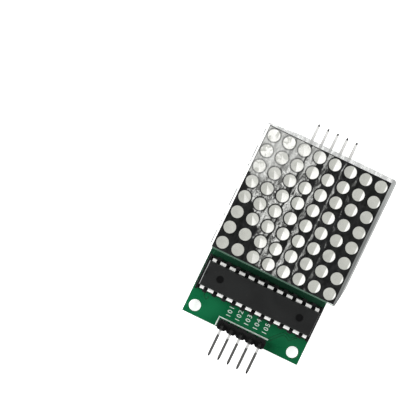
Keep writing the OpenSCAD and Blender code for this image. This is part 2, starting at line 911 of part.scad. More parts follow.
circuit_board();
board_solder();
input_header_block();
input_header_pins();
output_header_block();
output_header_pins();
near_strip_body();
near_strip_contacts();
far_strip_body();
far_strip_contacts();
socket_body();
socket_contacts();
driver_body();
driver_leads();
matrix_housing();
matrix_face_print();
matrix_dots();
matrix_chips();
matrix_plate();
matrix_filling();
matrix_pins();
face_film();
capacitor_can();
capacitor_sleeve();
capacitor_seal();
capacitor_leads();
disc_capacitor_body();
disc_capacitor_leads();
resistor_body();
resistor_leads();
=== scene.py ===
import math

import bmesh
import bpy
from mathutils import Euler, Matrix, Vector, noise


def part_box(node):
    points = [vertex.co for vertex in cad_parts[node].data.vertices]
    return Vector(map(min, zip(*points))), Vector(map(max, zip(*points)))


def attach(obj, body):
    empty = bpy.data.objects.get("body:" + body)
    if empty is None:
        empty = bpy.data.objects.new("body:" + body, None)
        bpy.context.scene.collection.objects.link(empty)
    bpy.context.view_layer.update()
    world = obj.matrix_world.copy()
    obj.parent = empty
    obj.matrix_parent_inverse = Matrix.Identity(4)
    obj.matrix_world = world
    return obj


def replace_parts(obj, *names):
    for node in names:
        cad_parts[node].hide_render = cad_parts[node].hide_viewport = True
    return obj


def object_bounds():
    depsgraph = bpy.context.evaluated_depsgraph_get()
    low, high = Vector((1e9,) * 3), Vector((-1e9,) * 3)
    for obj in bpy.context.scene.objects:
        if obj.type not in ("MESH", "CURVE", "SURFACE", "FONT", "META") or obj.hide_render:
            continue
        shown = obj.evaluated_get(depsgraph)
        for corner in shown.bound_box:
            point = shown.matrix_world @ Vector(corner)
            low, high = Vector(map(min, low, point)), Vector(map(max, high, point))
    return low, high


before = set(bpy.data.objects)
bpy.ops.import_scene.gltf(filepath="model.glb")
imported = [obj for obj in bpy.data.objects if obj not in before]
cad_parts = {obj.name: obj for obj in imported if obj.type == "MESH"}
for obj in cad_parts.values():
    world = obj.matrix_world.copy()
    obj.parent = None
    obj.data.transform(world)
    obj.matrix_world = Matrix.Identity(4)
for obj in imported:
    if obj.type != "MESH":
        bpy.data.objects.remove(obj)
cad_low, cad_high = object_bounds()

MM = 0.001
DOT_PITCH = 4.0
PIN_PITCH = 2.54

VIEW_TURN = math.radians(25.78)
CAMERA_PLACE = (-0.01748, -0.00089, 0.3866)
CAMERA_TILT = 0.01142
CAMERA_LENS = 141.08
LAMP_AIM = Vector((0, 0, 0.01))
FLOOR_REACH = 1.2
FLOOR_GAP = 0.02 * MM
PAPER_GLOW = 0.18          # the light that the paper throws up
PAPER_SEEN = 0.57          # what the camera sees on top of it

board_low, board_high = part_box("circuit_board")
housing_low, housing_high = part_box("matrix_housing")
face_middle = (housing_low + housing_high) / 2
face_half = (housing_high.x - housing_low.x) / 2 / MM


def middle_of(part):
    """The middle of a CAD part's box."""
    low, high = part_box(part)
    return (low + high) / 2


def place_object(name, data):
    """A new object in the scene."""
    made = bpy.data.objects.new(name, data)
    bpy.context.scene.collection.objects.link(made)
    return made


# ---------- nodes ----------

def link_or_set(tree, node, key, value):
    """Links a socket to that input of a node, or sets the input to a plain value."""
    if isinstance(value, bpy.types.NodeSocket):
        tree.links.new(value, node.inputs[key])
    else:
        node.inputs[key].default_value = value


def add(tree, kind, inputs=None, **settings):
    """A new node with its settings, and its inputs linked or set by name or number."""
    made = tree.nodes.new(kind)
    for key, value in settings.items():
        setattr(made, key, value)
    for key, value in (inputs or {}).items():
        link_or_set(tree, made, key, value)
    return made


def calc(tree, operation, *values, clamp=False):
    """One operation on up to three values."""
    made = add(tree, "ShaderNodeMath", dict(enumerate(values)), operation=operation, use_clamp=clamp)
    return made.outputs[0]


def plus(tree, first, second):
    return calc(tree, "ADD", first, second)


def minus(tree, first, second):
    return calc(tree, "SUBTRACT", first, second)


def times(tree, product, *factors):
    for factor in factors:
        product = calc(tree, "MULTIPLY", product, factor)
    return product


def scaled(tree, value, factor, shift):
    return calc(tree, "MULTIPLY_ADD", value, factor, shift)


def rest_of(tree, share):
    """What is left of 1 beside a share."""
    return minus(tree, 1.0, share)


def ramp(tree, value, low, high, to_low=0.0, to_high=1.0, smooth=True):
    """value taken from low..high to to_low..to_high, held at both ends."""
    made = add(tree, "ShaderNodeMapRange", {
        "Value": value, "From Min": low, "From Max": high, "To Min": to_low, "To Max": to_high,
    }, clamp=True, interpolation_type="SMOOTHSTEP" if smooth else "LINEAR")
    return made.outputs["Result"]


def fall(tree, value, low, high):
    """1 below low, 0 above high."""
    return ramp(tree, value, low, high, 1.0, 0.0)


def band(tree, value, low, full, still, high):
    """0 outside low..high, 1 inside full..still."""
    return times(tree, ramp(tree, value, low, full), fall(tree, value, still, high))


def blend_colours(tree, factor, first, second, way="MIX"):
    made = add(tree, "ShaderNodeMix", {0: factor, 6: first, 7: second}, data_type="RGBA", blend_type=way)
    return made.outputs[2]


def blend_values(tree, factor, first, second):
    return add(tree, "ShaderNodeMix", {0: factor, 2: first, 3: second}, data_type="FLOAT").outputs[0]


def layered(tree, base, layers, blend=blend_colours):
    """A base with each layer's colour or value over it where the layer's mask is 1."""
    for mask, top in layers:
        base = blend(tree, mask, base, top)
    return base


def darkened(tree, colour, value):
    grey = add(tree, "ShaderNodeCombineColor", {0: value, 1: value, 2: value}).outputs[0]
    return blend_colours(tree, 1.0, colour, grey, "MULTIPLY")


def axes_of(tree, place):
    return add(tree, "ShaderNodeSeparateXYZ", {0: place}).outputs


def length_of(tree, across, up):
    flat = add(tree, "ShaderNodeCombineXYZ", {0: across, 1: up}).outputs[0]
    return add(tree, "ShaderNodeVectorMath", {0: flat}, operation="LENGTH").outputs["Value"]


def stretched(tree, place, way):
    return add(tree, "ShaderNodeVectorMath", {0: place, 1: way}, operation="MULTIPLY").outputs[0]


def noise_of(tree, place, scale, detail, **more):
    inputs = {"Vector": place, "Scale": scale, "Detail": detail, **more}
    return add(tree, "ShaderNodeTexNoise", inputs).outputs["Fac"]


def wave_of(tree, place, scale, distortion, detail=2.0):
    inputs = {"Vector": place, "Scale": scale, "Distortion": distortion, "Detail": detail}
    return add(tree, "ShaderNodeTexWave", inputs).outputs["Fac"]


def paint(red, green, blue):
    """A colour as it is written for a screen, 0 to 255, as linear light."""
    def linear(value):
        value /= 255
        return value / 12.92 if value <= 0.04045 else ((value + 0.055) / 1.055) ** 2.4
    return (linear(red), linear(green), linear(blue), 1.0)


# ---------- camera, floor, light ----------

def empty_tree(owner):
    """The node tree of a new world or material, with nothing in it."""
    owner.use_nodes = True
    owner.node_tree.nodes.clear()
    return owner.node_tree


def make_camera():
    """A long lens almost straight above, turned so that the module stands askew."""
    lens = bpy.data.cameras.new("studio_camera")
    lens.lens = CAMERA_LENS
    camera = place_object("studio_camera", lens)
    camera.location = CAMERA_PLACE
    camera.rotation_euler = (CAMERA_TILT, CAMERA_TILT, VIEW_TURN)
    bpy.context.scene.camera = camera


def make_world():
    """A room that is bright at eye level and dim overhead, and plain white to the camera."""
    world = bpy.data.worlds.new("studio_room")
    tree = empty_tree(world)
    way = add(tree, "ShaderNodeTexCoord").outputs["Generated"]
    room = ramp(tree, axes_of(tree, way)[2], 0.45, 0.97, 0.95, 0.12)
    seen = add(tree, "ShaderNodeLightPath").outputs["Is Camera Ray"]
    light = add(tree, "ShaderNodeBackground", {
        "Color": (1, 1, 1, 1), "Strength": blend_values(tree, seen, room, 1.0)})
    add(tree, "ShaderNodeOutputWorld", {0: light.outputs[0]})
    bpy.context.scene.world = world


def make_lamp(name, size, left, up, height, watts):
    """A softbox that the camera doesn't see, placed by the sides of the picture."""
    image_left = Vector((-math.cos(VIEW_TURN), -math.sin(VIEW_TURN), 0))
    image_up = Vector((-math.sin(VIEW_TURN), math.cos(VIEW_TURN), 0))
    data = bpy.data.lights.new(name, "AREA")
    data.shape = "RECTANGLE"
    data.size, data.size_y = size, size
    data.energy = watts
    lamp = place_object(name, data)
    lamp.location = image_left * left + image_up * up + Vector((0, 0, height))
    lamp.rotation_euler = (LAMP_AIM - lamp.location).to_track_quat("-Z", "Y").to_euler()
    lamp.visible_camera = False


def make_floor():
    """White paper that throws some light up and is clear from below."""
    mesh = bpy.data.meshes.new("studio_floor")
    corners = ((-1, -1), (1, -1), (1, 1), (-1, 1))
    mesh.from_pydata([(x * FLOOR_REACH, y * FLOOR_REACH, cad_low.z - FLOOR_GAP) for x, y in corners],
                     [], [(0, 1, 2, 3)])
    floor = place_object("studio_floor", mesh)
    material = bpy.data.materials.new("floor_paper")
    tree = empty_tree(material)
    seen = add(tree, "ShaderNodeLightPath").outputs["Is Camera Ray"]
    cloth = add(tree, "ShaderNodeBsdfDiffuse", {"Color": (0.9, 0.9, 0.9, 1)})
    glow = add(tree, "ShaderNodeEmission", {
        "Color": (1, 1, 1, 1), "Strength": scaled(tree, seen, PAPER_SEEN, PAPER_GLOW)})
    both = add(tree, "ShaderNodeAddShader", {0: cloth.outputs[0], 1: glow.outputs[0]})
    below = add(tree, "ShaderNodeNewGeometry").outputs["Backfacing"]
    clear = add(tree, "ShaderNodeBsdfTransparent")
    paper = add(tree, "ShaderNodeMixShader", {0: below, 1: both.outputs[0], 2: clear.outputs[0]})
    add(tree, "ShaderNodeOutputMaterial", {0: paper.outputs[0]})
    mesh.materials.append(material)


make_camera()
make_world()
make_floor()
make_lamp("key_softbox", 0.30, left=0.42, up=0.16, height=0.46, watts=2.6)
make_lamp("fill_softbox", 0.40, left=-0.38, up=-0.22, height=0.42, watts=0.9)


# ---------- effects that several materials share ----------

def new_group(name, inputs, outputs):
    """An empty shader group, the values it is given, and the node that takes its results."""
    group = bpy.data.node_groups.new(name, "ShaderNodeTree")
    for label, kind, value in inputs:
        socket = group.interface.new_socket(label, in_out="INPUT", socket_type="NodeSocket" + kind)
        if value is not None:
            socket.default_value = value
    for label, kind in outputs:
        group.interface.new_socket(label, in_out="OUTPUT", socket_type="NodeSocket" + kind)
    return group, group.nodes.new("NodeGroupInput").outputs, group.nodes.new("NodeGroupOutput")


def give(tree, out, **results):
    """Links results to the inputs of an output node."""
    for label, result in results.items():
        tree.links.new(result, out.inputs[label])


SURFACE = [("Colour", "Color"), ("Roughness", "Float"), ("Height", "Float")]


def make_moulded_grain():
    """Mould flow, fine grain and uneven gloss, as on cast plastic, resin and paint."""
    tree, given, out = new_group("moulded_grain", [
        ("Place", "Vector", None),
        ("Main", "Color", (0.5, 0.5, 0.5, 1)), ("Other", "Color", (0.4, 0.4, 0.4, 1)),
        ("Patches", "Float", 0.2), ("Grain", "Float", 8.0),
        ("Smooth", "Float", 0.3), ("Rough", "Float", 0.5), ("Mottle", "Float", 0.08)], SURFACE)
    flow = noise_of(tree, given["Place"], given["Patches"], 4.0, Distortion=0.6)
    grit = noise_of(tree, given["Place"], given["Grain"], 3.0, Roughness=0.65)
    patch = ramp(tree, flow, 0.34, 0.66)
    tone = blend_colours(tree, patch, given["Main"], given["Other"])
    swing = ramp(tree, grit, 0.3, 0.7, -1.0, 1.0, smooth=False)
    colour = darkened(tree, tone, scaled(tree, swing, given["Mottle"], 1.0))
    gloss = scaled(tree, patch, 0.55, times(tree, grit, 0.45))
    rough = blend_values(tree, gloss, given["Smooth"], given["Rough"])
    give(tree, out, Colour=colour, Roughness=rough, Height=grit)
    return tree


def make_drawn_metal():
    """Long fine streaks and dull patches, as on drawn, stamped or plated metal."""
    tree, given, out = new_group("drawn_metal", [
        ("Place", "Vector", None), ("Stretch", "Vector", (1.0, 1.0, 1.0)),
        ("Main", "Color", (0.8, 0.8, 0.8, 1)), ("Dull", "Color", (0.5, 0.5, 0.5, 1)),
        ("Smooth", "Float", 0.2), ("Rough", "Float", 0.45)], SURFACE)
    streak = noise_of(tree, stretched(tree, given["Place"], given["Stretch"]), 5.0, 3.0)
    dull = ramp(tree, noise_of(tree, given["Place"], 0.9, 3.0), 0.42, 0.68)
    mark = ramp(tree, streak, 0.35, 0.7, smooth=False)
    amount = calc(tree, "MULTIPLY_ADD", dull, 0.6, times(tree, mark, 0.35), clamp=True)
    give(tree, out, Colour=blend_colours(tree, amount, given["Main"], given["Dull"]),
         Roughness=blend_values(tree, amount, given["Smooth"], given["Rough"]), Height=streak)
    return tree


def make_dust():
    """A mask of small pale specks that lie on a surface."""
    tree, given, out = new_group("dust", [
        ("Place", "Vector", None), ("Spread", "Float", 0.7), ("Size", "Float", 0.06)], [("Mask", "Float")])
    cells = add(tree, "ShaderNodeTexVoronoi", {
        "Vector": given["Place"], "Scale": given["Spread"], "Randomness": 1.0}).outputs
    some = ramp(tree, axes_of(tree, cells["Color"])[0], 0.55, 0.6)
    edge = times(tree, given["Size"], 1.6)
    near = rest_of(tree, ramp(tree, cells["Distance"], given["Size"], edge, smooth=False))
    give(tree, out, Mask=times(tree, near, some))
    return tree


def make_dot_cell():
    """Where a point lies from the middle of the nearest dot, turned to the view, and that dot's place."""
    tree, given, out = new_group("dot_cell", [("Place", "Vector", None)], [
        (label, "Float") for label in ("Across", "Up", "Radius", "Column", "Row")])
    local, middle = [], []
    for place in list(axes_of(tree, given["Place"]))[:2]:
        cell = calc(tree, "FLOOR", calc(tree, "DIVIDE", place, DOT_PITCH))
        middle.append(times(tree, plus(tree, cell, 0.5), DOT_PITCH))
        local.append(minus(tree, place, middle[-1]))
    cosine, sine = math.cos(VIEW_TURN), math.sin(VIEW_TURN)
    across = scaled(tree, local[0], cosine, times(tree, local[1], sine))
    up = scaled(tree, local[1], cosine, times(tree, local[0], -sine))
    give(tree, out, Across=across, Up=up, Radius=length_of(tree, across, up), Column=middle[0], Row=middle[1])
    return tree


GRAIN = make_moulded_grain()
METAL = make_drawn_metal()
DUST = make_dust()
CELL = make_dot_cell()


# ---------- materials ----------

def new_material(name):
    """A new material, its tree, and the shader that makes its surface."""
    material = bpy.data.materials.new(name)
    tree = empty_tree(material)
    shader = add(tree, "ShaderNodeBsdfPrincipled")
    add(tree, "ShaderNodeOutputMaterial", {0: shader.outputs[0]})
    return material, tree, shader


def place_in_mm(tree, middle=(0.0, 0.0, 0.0)):
    """Object coordinates in millimetres from a middle point that is given in metres."""
    way = add(tree, "ShaderNodeTexCoord")
    return add(tree, "ShaderNodeMapping", {
        "Vector": way.outputs["Object"], "Location": tuple(-1000 * part for part in middle),
        "Scale": (1000, 1000, 1000)}).outputs[0]


def use(tree, group, **inputs):
    """What a shared effect gives for these inputs."""
    return add(tree, "ShaderNodeGroup", inputs, node_tree=group).outputs


def dusted(tree, place, colour, spread, size, amount, tint):
    """A colour with specks of dust over it."""
    specks = use(tree, DUST, Place=place, Spread=spread, Size=size)["Mask"]
    return blend_colours(tree, times(tree, specks, amount), colour, tint)


def finish_surface(tree, shader, colour, effect, bump, depth, rough=None, specular=0.5, metallic=0.0):
    """Feeds a colour, and a bump of that strength and depth in millimetres by an effect's height.

    The roughness is the effect's own unless another is given.
    """
    relief = add(tree, "ShaderNodeBump", {
        "Height": effect["Height"], "Strength": bump, "Distance": depth * MM})
    for label, value in (("Base Color", colour), ("Roughness", rough or effect["Roughness"]),
                         ("Normal", relief.outputs[0]), ("Specular IOR Level", specular),
                         ("Metallic", metallic)):
        link_or_set(tree, shader, label, value)


def moulded(name, main, other, patches=0.25, grain=9.0, smooth=0.35, rough=0.6, bump=0.5, depth=0.02,
            dust=0.0, specular=0.5, mottle=0.08):
    """A cast or printed surface in two near tones, with grain, gloss and some dust."""
    material, tree, shader = new_material(name)
    place = place_in_mm(tree)
    grit = use(tree, GRAIN, Place=place, Main=main, Other=other, Patches=patches, Grain=grain,
               Smooth=smooth, Rough=rough, Mottle=mottle)
    colour = grit["Colour"]
    if dust:
        colour = dusted(tree, place, colour, spread=0.8, size=0.05, amount=dust, tint=paint(200, 200, 196))
    finish_surface(tree, shader, colour, grit, bump, depth, specular=specular)
    return material


def metal(name, main, dull, stretch=(1, 1, 1), smooth=0.2, rough=0.45, metallic=1.0):
    """Drawn or plated metal, dull in patches. stretch is small along the streaks."""
    material, tree, shader = new_material(name)
    drawn = use(tree, METAL, Place=place_in_mm(tree), Stretch=stretch, Main=main, Dull=dull,
                Smooth=smooth, Rough=rough)
    finish_surface(tree, shader, drawn["Colour"], drawn, 0.3, 0.01, metallic=metallic)
    return material


def make_board_green():
    """Green mask over the laminate, which shows at the cut edges and in the holes. The mask has painted light,
    lighter to the left, and painted shade under the parts.
    """
    material, tree, shader = new_material("green_mask")
    place = place_in_mm(tree)
    x, y, z = axes_of(tree, place)
    grit = use(tree, GRAIN, Place=place, Main=paint(8, 97, 58), Other=paint(11, 105, 64),
               Patches=0.12, Grain=5.0, Smooth=0.22, Rough=0.42)
    weave = ramp(tree, wave_of(tree, place, 0.9, 1.5), 0, 1, 0.96, 1.03, smooth=False)
    # Painted light: the mask is lighter on the left and darker towards the right.
    painted_light_falloff = ramp(tree, x, -13.0, 15.0, 1.06, 0.8)
    mask = darkened(tree, grit["Colour"], times(tree, weave, painted_light_falloff))
    # Painted shade: a darker, wavering green in the band under the parts.
    wobble = noise_of(tree, place, 0.6, 2.0)
    painted_shade_under_parts = band(tree, scaled(tree, wobble, 0.5, y), -17.8, -17.2, 19.8, 20.4)
    dark = blend_colours(tree, wobble, paint(14, 56, 38), paint(28, 78, 54))
    layers = wave_of(tree, add(tree, "ShaderNodeCombineXYZ", {0: z}).outputs[0], 1.6, 0.3)
    core = blend_colours(tree, layers, paint(58, 92, 50), paint(104, 122, 72))
    low, high = board_low.z / MM, board_high.z / MM
    inside = band(tree, z, low + 0.03, low + 0.08, high - 0.08, high - 0.03)
    colour = layered(tree, mask, ((painted_shade_under_parts, dark), (inside, core)))
    rough = blend_values(tree, inside, grit["Roughness"], 0.75)
    finish_surface(tree, shader, colour, grit, 0.25, 0.02, rough=rough, specular=0.22)
    return material


def make_driver_mould():
    """Matt black mould with two dark round marks, a painted highlight along one end, fine grain and a little
    dust.
    """
    mark_place, mark_radius, end = 10.56, 0.93, -14.6
    material, tree, shader = new_material("driver_mould")
    middle = middle_of("driver_body")
    place = place_in_mm(tree, (middle.x, middle.y, 0))
    x, y, z = axes_of(tree, place)
    grit = use(tree, GRAIN, Place=place, Main=paint(26, 27, 27), Other=paint(31, 32, 32), Patches=0.15,
               Grain=7.0, Smooth=0.5, Rough=0.7)
    dusty = dusted(tree, place, grit["Colour"], spread=0.45, size=0.035, amount=0.25, tint=paint(150, 150, 150))
    from_mark = length_of(tree, minus(tree, calc(tree, "ABSOLUTE", x), mark_place), y)
    marked = fall(tree, from_mark, mark_radius - 0.07, mark_radius + 0.07)
    # Painted highlight: a pale line along the upper edge of the left end.
    painted_end_highlight = times(tree, fall(tree, x, end - 0.06, end + 0.04), ramp(tree, z, 8.3, 8.7), 0.8)
    colour = layered(tree, dusty, ((marked, paint(8, 8, 9)), (painted_end_highlight, paint(176, 178, 178))))
    rough = blend_values(tree, marked, grit["Roughness"], 0.35)
    finish_surface(tree, shader, colour, grit, 0.5, 0.03, rough=rough, specular=0.2)
    return material


def make_face_black():
    """Black print with a still darker edge round each dot."""
    material, tree, shader = new_material("face_black")
    place = place_in_mm(tree, face_middle)
    grit = use(tree, GRAIN, Place=place, Main=paint(7, 9, 8), Other=paint(13, 14, 16), Patches=0.2,
               Grain=6.0, Smooth=0.3, Rough=0.55)
    rim = times(tree, fall(tree, use(tree, CELL, Place=place)["Radius"], 1.5, 1.62), 0.8)
    colour = blend_colours(tree, rim, grit["Colour"], paint(9, 9, 10))
    finish_surface(tree, shader, colour, grit, 0.4, 0.02, specular=0.1)
    return material


def make_dot_resin():
    """Clouded resin: pale grey, with a painted highlight in a sector of each hollow."""
    material, tree, shader = new_material("dot_resin")
    place = place_in_mm(tree, face_middle)
    grit = use(tree, GRAIN, Place=place, Main=paint(181, 182, 175), Other=paint(189, 190, 183),
               Patches=0.35, Grain=3.0, Smooth=0.12, Rough=0.3, Mottle=0.012)
    across, up, radius, column, row = use(tree, CELL, Place=place)

    # The painted highlight is a sector that starts at an apex above the dot's middle. It is narrow on the left
    # of the face and half a turn wide on the right.
    apex = ramp(tree, column, -7.0, 3.0, 0.85, 0.15)
    start = ramp(tree, column, -9.0, -1.0, math.radians(98), math.radians(115))
    width = ramp(tree, column, -9.0, -1.0, math.radians(34), math.radians(180))
    angle = calc(tree, "ARCTAN2", minus(tree, up, apex), across)
    turned = calc(tree, "FLOORED_MODULO", plus(tree, angle, start), 2 * math.pi)
    begin = ramp(tree, turned, 0.0, math.radians(7))
    stop = rest_of(tree, ramp(tree, turned, width, plus(tree, width, math.radians(12))))
    dimming = ramp(tree, column, -3.0, 6.0, 0.52, 0.3, smooth=False)
    fade = rest_of(tree, times(tree, calc(tree, "DIVIDE", turned, width), dimming))
    glow = times(tree, begin, ramp(tree, turned, math.radians(150), math.radians(200), 0.16, 0.0))
    sector = calc(tree, "MAXIMUM", times(tree, begin, stop, fade), glow)

    # Only what lies right of a line across the dot gets the painted highlight. The line moves with the column.
    line = calc(tree, "MAXIMUM", scaled(tree, column, 0.09, -0.27), -0.1)
    line = blend_values(tree, ramp(tree, column, -3.0, 1.0), -1.6, line)
    beside = minus(tree, axes_of(tree, place)[0], column)
    beyond = ramp(tree, minus(tree, beside, line), 0.0, 0.25)

    # The dots in the near left corner get no painted highlight, and those in the far left corner get painted
    # glints all over.
    limit = scaled(tree, column, -1.45, -22.9)
    lit = ramp(tree, minus(tree, row, limit), -2.0, 2.5)
    glints = ramp(tree, noise_of(tree, place, 0.6, 3.0, Distortion=0.8), 0.42, 0.52, 0.15, 0.95)
    corner = times(tree, ramp(tree, minus(tree, row, column), 13.0, 24.0), glints)
    bright = calc(tree, "MAXIMUM", times(tree, sector, beyond, lit), corner)

    edge = times(tree, ramp(tree, radius, 1.45, 1.52), 0.6)
    colour = layered(tree, grit["Colour"], ((bright, paint(255, 255, 251)), (edge, paint(92, 92, 88))))
    finish_surface(tree, shader, colour, grit, 0.15, 0.02, specular=0.4)
    return material


def make_film():
    """Clear film: it clings and looks clear, or has lifted and carries a painted silver reflection, with
    creases, dust and a painted shadow where it hangs over on the right.
    """
    material, tree, shader = new_material("film_clear")
    place = place_in_mm(tree, face_middle)
    x, y, _ = axes_of(tree, place)
    cell = use(tree, CELL, Place=place)
    long_smear = stretched(tree, place, (1.0, 0.35, 1.0))
    flutter = noise_of(tree, long_smear, 0.7, 3.0)
    smear = noise_of(tree, long_smear, 0.9, 5.0, Roughness=0.65, Distortion=0.6)
    folds = noise_of(tree, place, 0.75, 4.0, Roughness=0.6, Distortion=1.4)
    even_glare_corner = ramp(tree, minus(tree, y, x), 8.0, 22.0)

    # In each gap between two columns of dots the film has lifted as a strip that carries a painted reflection,
    # with a painted shade in it. The strips grow weaker and break up towards the right.
    half_pitch = DOT_PITCH / 2
    around = add(tree, "ShaderNodeVectorMath", {0: place, 1: (half_pitch, 0.0, 0.0)}, operation="ADD")
    gap = minus(tree, use(tree, CELL, Place=around.outputs[0])["Column"], half_pitch)
    beside = plus(tree, minus(tree, x, gap), scaled(tree, flutter, 1.6, -0.8))
    shade_from = ramp(tree, gap, -4.0, 0.0, -1.35, -2.8, smooth=False)
    shade_to = ramp(tree, gap, -4.0, 4.0, -0.5, 0.0, smooth=False)
    shade = times(tree, ramp(tree, minus(tree, beside, shade_from), 0.0, 0.35),
                  ramp(tree, minus(tree, shade_to, beside), 0.0, 0.2),
                  ramp(tree, gap, -12.0, -4.0, 0.25, 1.0, smooth=False))
    strip_end = minus(tree, ramp(tree, gap, -4.0, 0.0, 2.8, 0.8, smooth=False),
                      ramp(tree, gap, 0.0, 8.0, 0.0, 0.55, smooth=False))
    from_row = calc(tree, "ABSOLUTE", minus(tree, y, cell["Row"]))
    strip_end = plus(tree, strip_end, ramp(tree, from_row, 0.8, 1.9, -0.25, 0.35))
    strip = ramp(tree, minus(tree, strip_end, beside), -0.1, 0.3)
    broken = ramp(tree, noise_of(tree, place, 0.45, 3.0), 0.36, 0.54, 0.35, 1.0)
    strength = times(tree, ramp(tree, gap, -4.0, 4.0, 1.1, 0.42, smooth=False),
                     ramp(tree, gap, 4.0, 12.0, 1.0, 0.0, smooth=False),
                     blend_values(tree, ramp(tree, gap, -8.0, 2.0), 1.0, broken))

    # It clings in the near left corner, without painted reflection, up to a border of two slopes that wanders.
    wander = scaled(tree, noise_of(tree, place, 0.55, 4.0), 13.0, -6.5)
    border = calc(tree, "MINIMUM", scaled(tree, x, -1.1, -13.7), scaled(tree, x, -1.9, -23.3))
    past_border = ramp(tree, minus(tree, minus(tree, y, border), wander), -0.8, 1.0)
    lifted = times(tree, strip, strength, rest_of(tree, shade), past_border)

    # Where it has lifted the painted reflection is patchy and broken by creases, least of all in the far left
    # corner, where it is even and bright.
    patchy = ramp(tree, plus(tree, smear, ramp(tree, y, -8.0, 3.0, 0.06, 0.0)), 0.42, 0.54, 0.15, 1.0)
    patchy = blend_values(tree, times(tree, even_glare_corner, 0.75), patchy, 1.0)
    crease = fall(tree, calc(tree, "ABSOLUTE", minus(tree, folds, 0.5)), 0.005, 0.035)
    crease = times(tree, crease, blend_values(tree, even_glare_corner, 0.8, 0.15))
    painted_glare = times(tree, lifted, patchy, rest_of(tree, crease))

    # The painted reflection is left out over the dots and along the far and left edges, and a ring round each
    # dot is painted shade.
    half = face_half
    ring_shade_amount = times(tree, ramp(tree, minus(tree, x, cell["Column"]), -0.9, 0.6, 1.0, 0.85),
                      blend_values(tree, even_glare_corner, 1.0, 0.7))
    ring = band(tree, cell["Radius"], 1.46, 1.52, 1.74, 1.94)
    over_dot = fall(tree, cell["Radius"], 1.44, 1.5)
    far_seam = ramp(tree, y, half - 0.3, half - 0.2)
    left_seam = ramp(tree, times(tree, x, -1.0), half - 0.3, half - 0.2)
    for mask, amount in ((ring, ring_shade_amount), (over_dot, 0.95), (far_seam, 0.9), (left_seam, 0.6)):
        painted_glare = times(tree, painted_glare, rest_of(tree, times(tree, mask, amount)))

    # Past the edges of the face it hangs over, with a dashed rim on the left, and on the right a painted
    # shadow, lighter at the far end, with a painted highlight along its outer edge.
    past_left = fall(tree, x, -half - 0.04, -half + 0.04)
    past_right = ramp(tree, x, half - 0.1, half - 0.02)
    past_far = ramp(tree, y, half - 0.04, half + 0.04)
    past_near = fall(tree, y, -half - 0.04, -half + 0.04)
    rim = fall(tree, x, -half - 0.5, -half - 0.38)
    dashes = ramp(tree, flutter, 0.44, 0.52, 0.08, 0.75)
    blotches = ramp(tree, smear, 0.4, 0.6, 0.3, 0.62)
    alpha = layered(tree, scaled(tree, painted_glare, 0.88, 0.012), (
        (past_near, 0.3), (past_left, blend_values(tree, rim, 0.05, dashes)),
        (past_far, blotches), (past_right, 0.88)), blend_values)
    specks = use(tree, DUST, Place=place, Spread=0.5, Size=0.04)["Mask"]
    alpha = calc(tree, "MAXIMUM", alpha, times(tree, specks, 0.5))

    # The tone paints the reflection: silver in patches, with painted glints on the folds, lighter in the far
    # left corner.
    tone = blend_colours(tree, ramp(tree, smear, 0.42, 0.62), paint(130, 131, 128), paint(220, 221, 218))
    fringe = blend_colours(tree, rim, paint(225, 226, 226), paint(96, 98, 98))
    # Painted shadow on the right overhang, lighter towards the far end, with a painted highlight along its
    # outer edge.
    painted_right_shadow = blend_colours(tree, ramp(tree, y, 2.0, 16.0), paint(124, 126, 125), paint(170, 172, 171))
    painted_right_shadow = blend_colours(tree, ramp(tree, x, half + 0.55, half + 0.8), painted_right_shadow, paint(196, 198, 197))
    tone = layered(tree, tone, (
        (ramp(tree, folds, 0.58, 0.64), paint(248, 249, 246)), (times(tree, even_glare_corner, 0.7), paint(212, 213, 210)),
        (over_dot, paint(236, 236, 232)), (past_near, paint(120, 150, 134)), (past_left, fringe),
        (past_far, paint(190, 191, 190)), (past_right, painted_right_shadow)))
    grit = use(tree, GRAIN, Place=place, Main=paint(250, 250, 250), Other=paint(238, 238, 238), Patches=0.4,
               Grain=1.6, Smooth=0.1, Rough=0.3, Mottle=0.03)
    colour = blend_colours(tree, 0.5, tone, grit["Colour"], "MULTIPLY")
    finish_surface(tree, shader, colour, {"Height": smear}, 0.4, 0.15, rough=grit["Roughness"], specular=0.3)
    tree.links.new(alpha, shader.inputs["Alpha"])
    return material


def make_resistor_tan():
    """Tan coating with four painted bands."""
    material, tree, shader = new_material("resistor_tan")
    place = place_in_mm(tree, (middle_of("resistor_body").x, 0, 0))
    grit = use(tree, GRAIN, Place=place, Main=paint(206, 176, 128), Other=paint(190, 158, 108), Patches=0.5,
               Grain=4.0, Smooth=0.2, Rough=0.4)
    along = axes_of(tree, place)[0]
    bands = [(fall(tree, calc(tree, "ABSOLUTE", minus(tree, along, middle)), 0.24, 0.28), tint)
             for middle, tint in ((-2.3, paint(120, 66, 30)), (-1.1, paint(24, 24, 26)),
                                  (-0.1, paint(214, 108, 30)), (2.2, paint(176, 132, 50)))]
    finish_surface(tree, shader, layered(tree, grit["Colour"], bands), grit, 0.2, 0.03)
    return material


def make_sleeve():
    """Blue shrink sleeve with a pale stripe on the side of the minus lead."""
    material, tree, shader = new_material("sleeve_blue")
    middle = middle_of("capacitor_sleeve")
    place = place_in_mm(tree, (middle.x, middle.y, 0))
    grit = use(tree, GRAIN, Place=place, Main=paint(28, 44, 92), Other=paint(22, 36, 80), Patches=0.4,
               Grain=3.0, Smooth=0.2, Rough=0.4)
    x, y, _ = axes_of(tree, place)
    stripe = fall(tree, calc(tree, "ABSOLUTE", calc(tree, "ARCTAN2", y, x)), 0.50, 0.54)
    colour = blend_colours(tree, stripe, grit["Colour"], paint(186, 190, 200))
    finish_surface(tree, shader, colour, grit, 0.2, 0.03)
    return material


